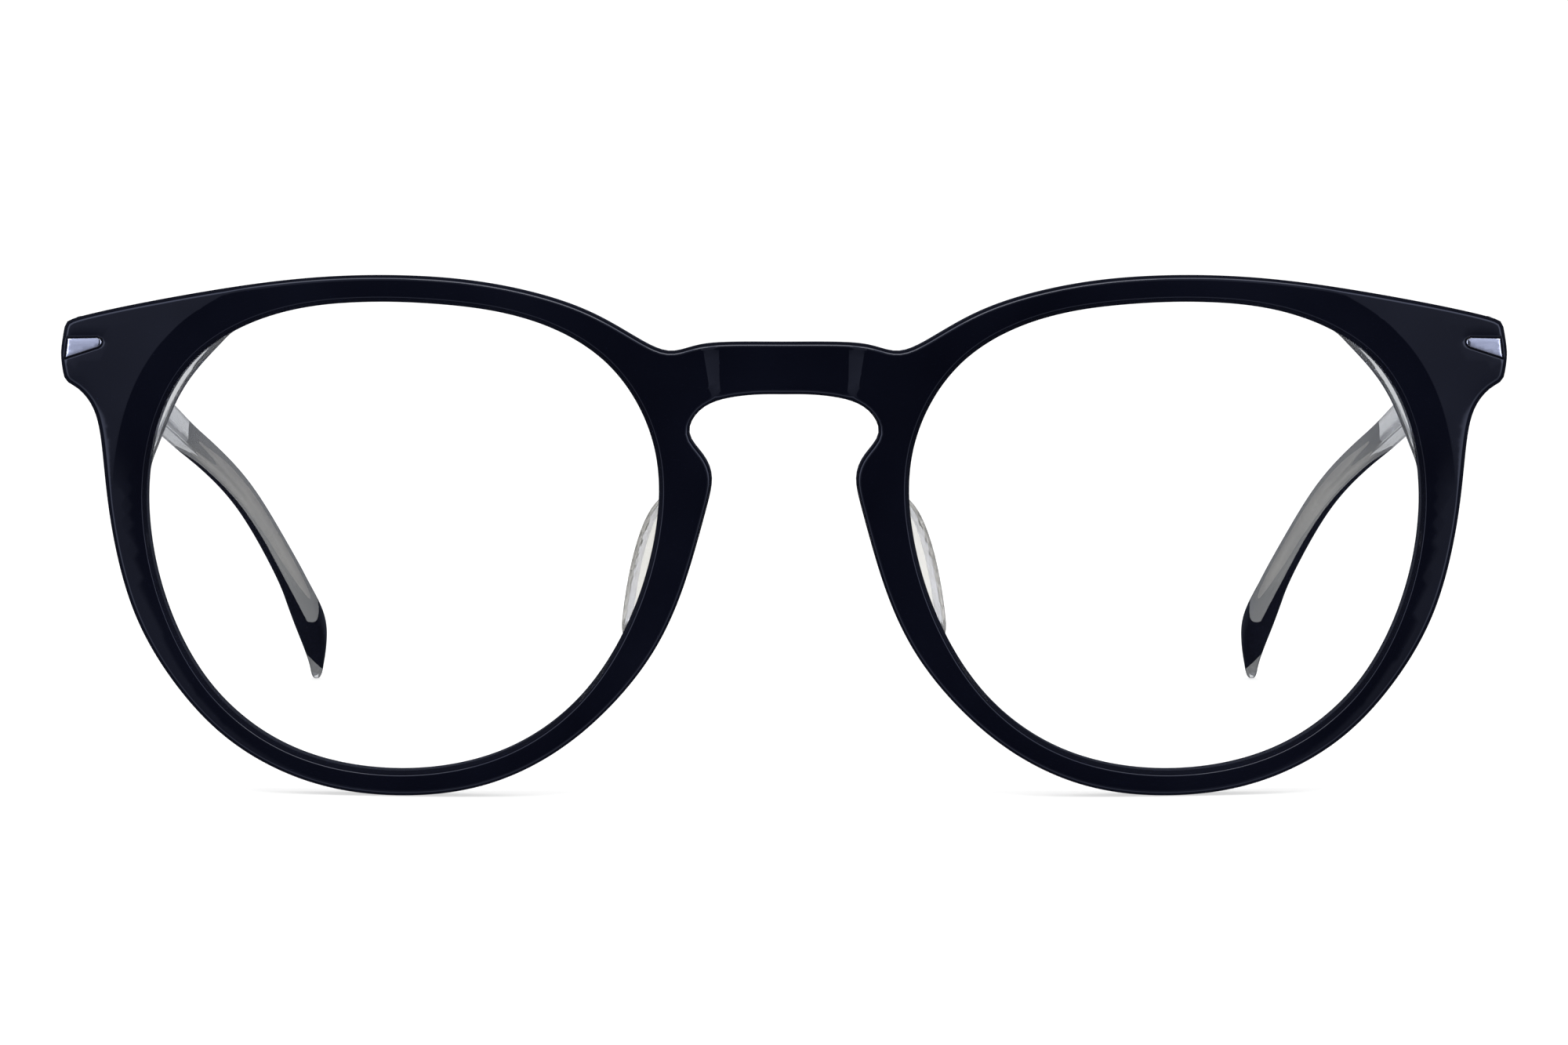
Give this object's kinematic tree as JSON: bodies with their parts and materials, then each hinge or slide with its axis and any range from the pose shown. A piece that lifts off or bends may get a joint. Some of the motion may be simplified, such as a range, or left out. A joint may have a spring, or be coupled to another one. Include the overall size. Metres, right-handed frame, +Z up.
{
  "type": "eyeglasses",
  "caption": "Round keyhole-bridge spectacles in navy acetate with clear lenses, metal endpiece inlays and crystal temples that fold on five-barrel hinges.",
  "frame": {"origin": "on the standing surface, midway across the front and midway between the front of the bridge and the temple tips, with the temples open", "axes": "+Z up, the front faces -Y, the temples run back along +Y, and +X is the wearer's left"},
  "size_m": [0.1402, 0.1369, 0.05],
  "materials": {
    "navy_acetate": "polished",
    "crystal_acetate": "polished, clear",
    "lens": "clear, anti-reflection coated",
    "polished_metal": "polished",
    "hinge_steel": "satin",
    "screw_steel": "turned",
    "wire_steel": "flat drawn wire"
  },
  "bodies": {
    "front": {"front_frame": "navy_acetate", "left_crystal_backing": "crystal_acetate", "right_crystal_backing": "crystal_acetate", "left_lens": "lens", "right_lens": "lens", "left_nose_pad": "crystal_acetate", "right_nose_pad": "crystal_acetate", "left_endpiece_inlay": "polished_metal", "right_endpiece_inlay": "polished_metal", "left_front_hinge": "hinge_steel", "right_front_hinge": "hinge_steel", "left_front_hinge_rivets": "hinge_steel", "right_front_hinge_rivets": "hinge_steel", "left_hinge_screw": "screw_steel", "right_hinge_screw": "screw_steel"},
    "left_temple": {"left_temple_hinge": "hinge_steel", "left_temple_hinge_rivets": "hinge_steel", "left_core_wire": "wire_steel", "left_temple_crystal": "crystal_acetate", "left_temple_tip": "navy_acetate", "left_tip_end": "crystal_acetate"},
    "right_temple": {"right_temple_hinge": "hinge_steel", "right_temple_hinge_rivets": "hinge_steel", "right_core_wire": "wire_steel", "right_temple_crystal": "crystal_acetate", "right_temple_tip": "navy_acetate", "right_tip_end": "crystal_acetate"}
  },
  "joints": [
    {"name": "left_hinge", "type": "hinge", "parent": "front", "child": "left_temple", "pos_m": [0.06475, -0.05279, 0.0427], "axis": [-0.0076, 0.1735, 0.9848], "range_deg": [0, 85]},
    {"name": "right_hinge", "type": "hinge", "parent": "front", "child": "right_temple", "pos_m": [-0.06475, -0.05279, 0.0427], "axis": [-0.0076, -0.1735, -0.9848], "range_deg": [0, 80]}
  ]
}
